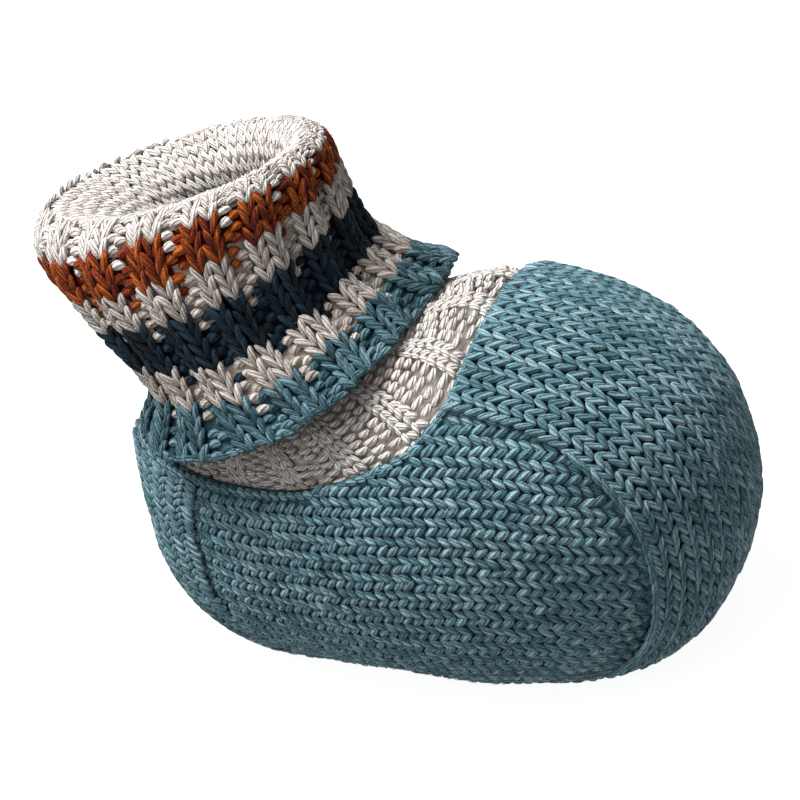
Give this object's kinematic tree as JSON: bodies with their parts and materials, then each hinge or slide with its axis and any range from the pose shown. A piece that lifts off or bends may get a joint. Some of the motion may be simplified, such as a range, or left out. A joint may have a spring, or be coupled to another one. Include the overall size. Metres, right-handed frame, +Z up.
{
  "type": "bootie slipper",
  "caption": "Baby's knitted bootie slipper with a rounded foot, a ribbed ankle shaft and a striped turned-down cuff.",
  "frame": {"origin": "on the floor under the middle of the foot's length", "axes": "+X towards the toe, +Z up, +Y to the left of someone who wears it"},
  "size_m": [0.1197, 0.0706, 0.0943],
  "materials": {
    "teal_yarn": "matte marled wool",
    "cream_yarn": "matte wool",
    "striped_yarn": "matte wool in rust, cream, navy and teal stripes"
  },
  "bodies": {
    "root": {"upper": "teal_yarn", "sole": "teal_yarn", "shaft": "cream_yarn", "cuff": "striped_yarn"}
  },
  "joints": []
}
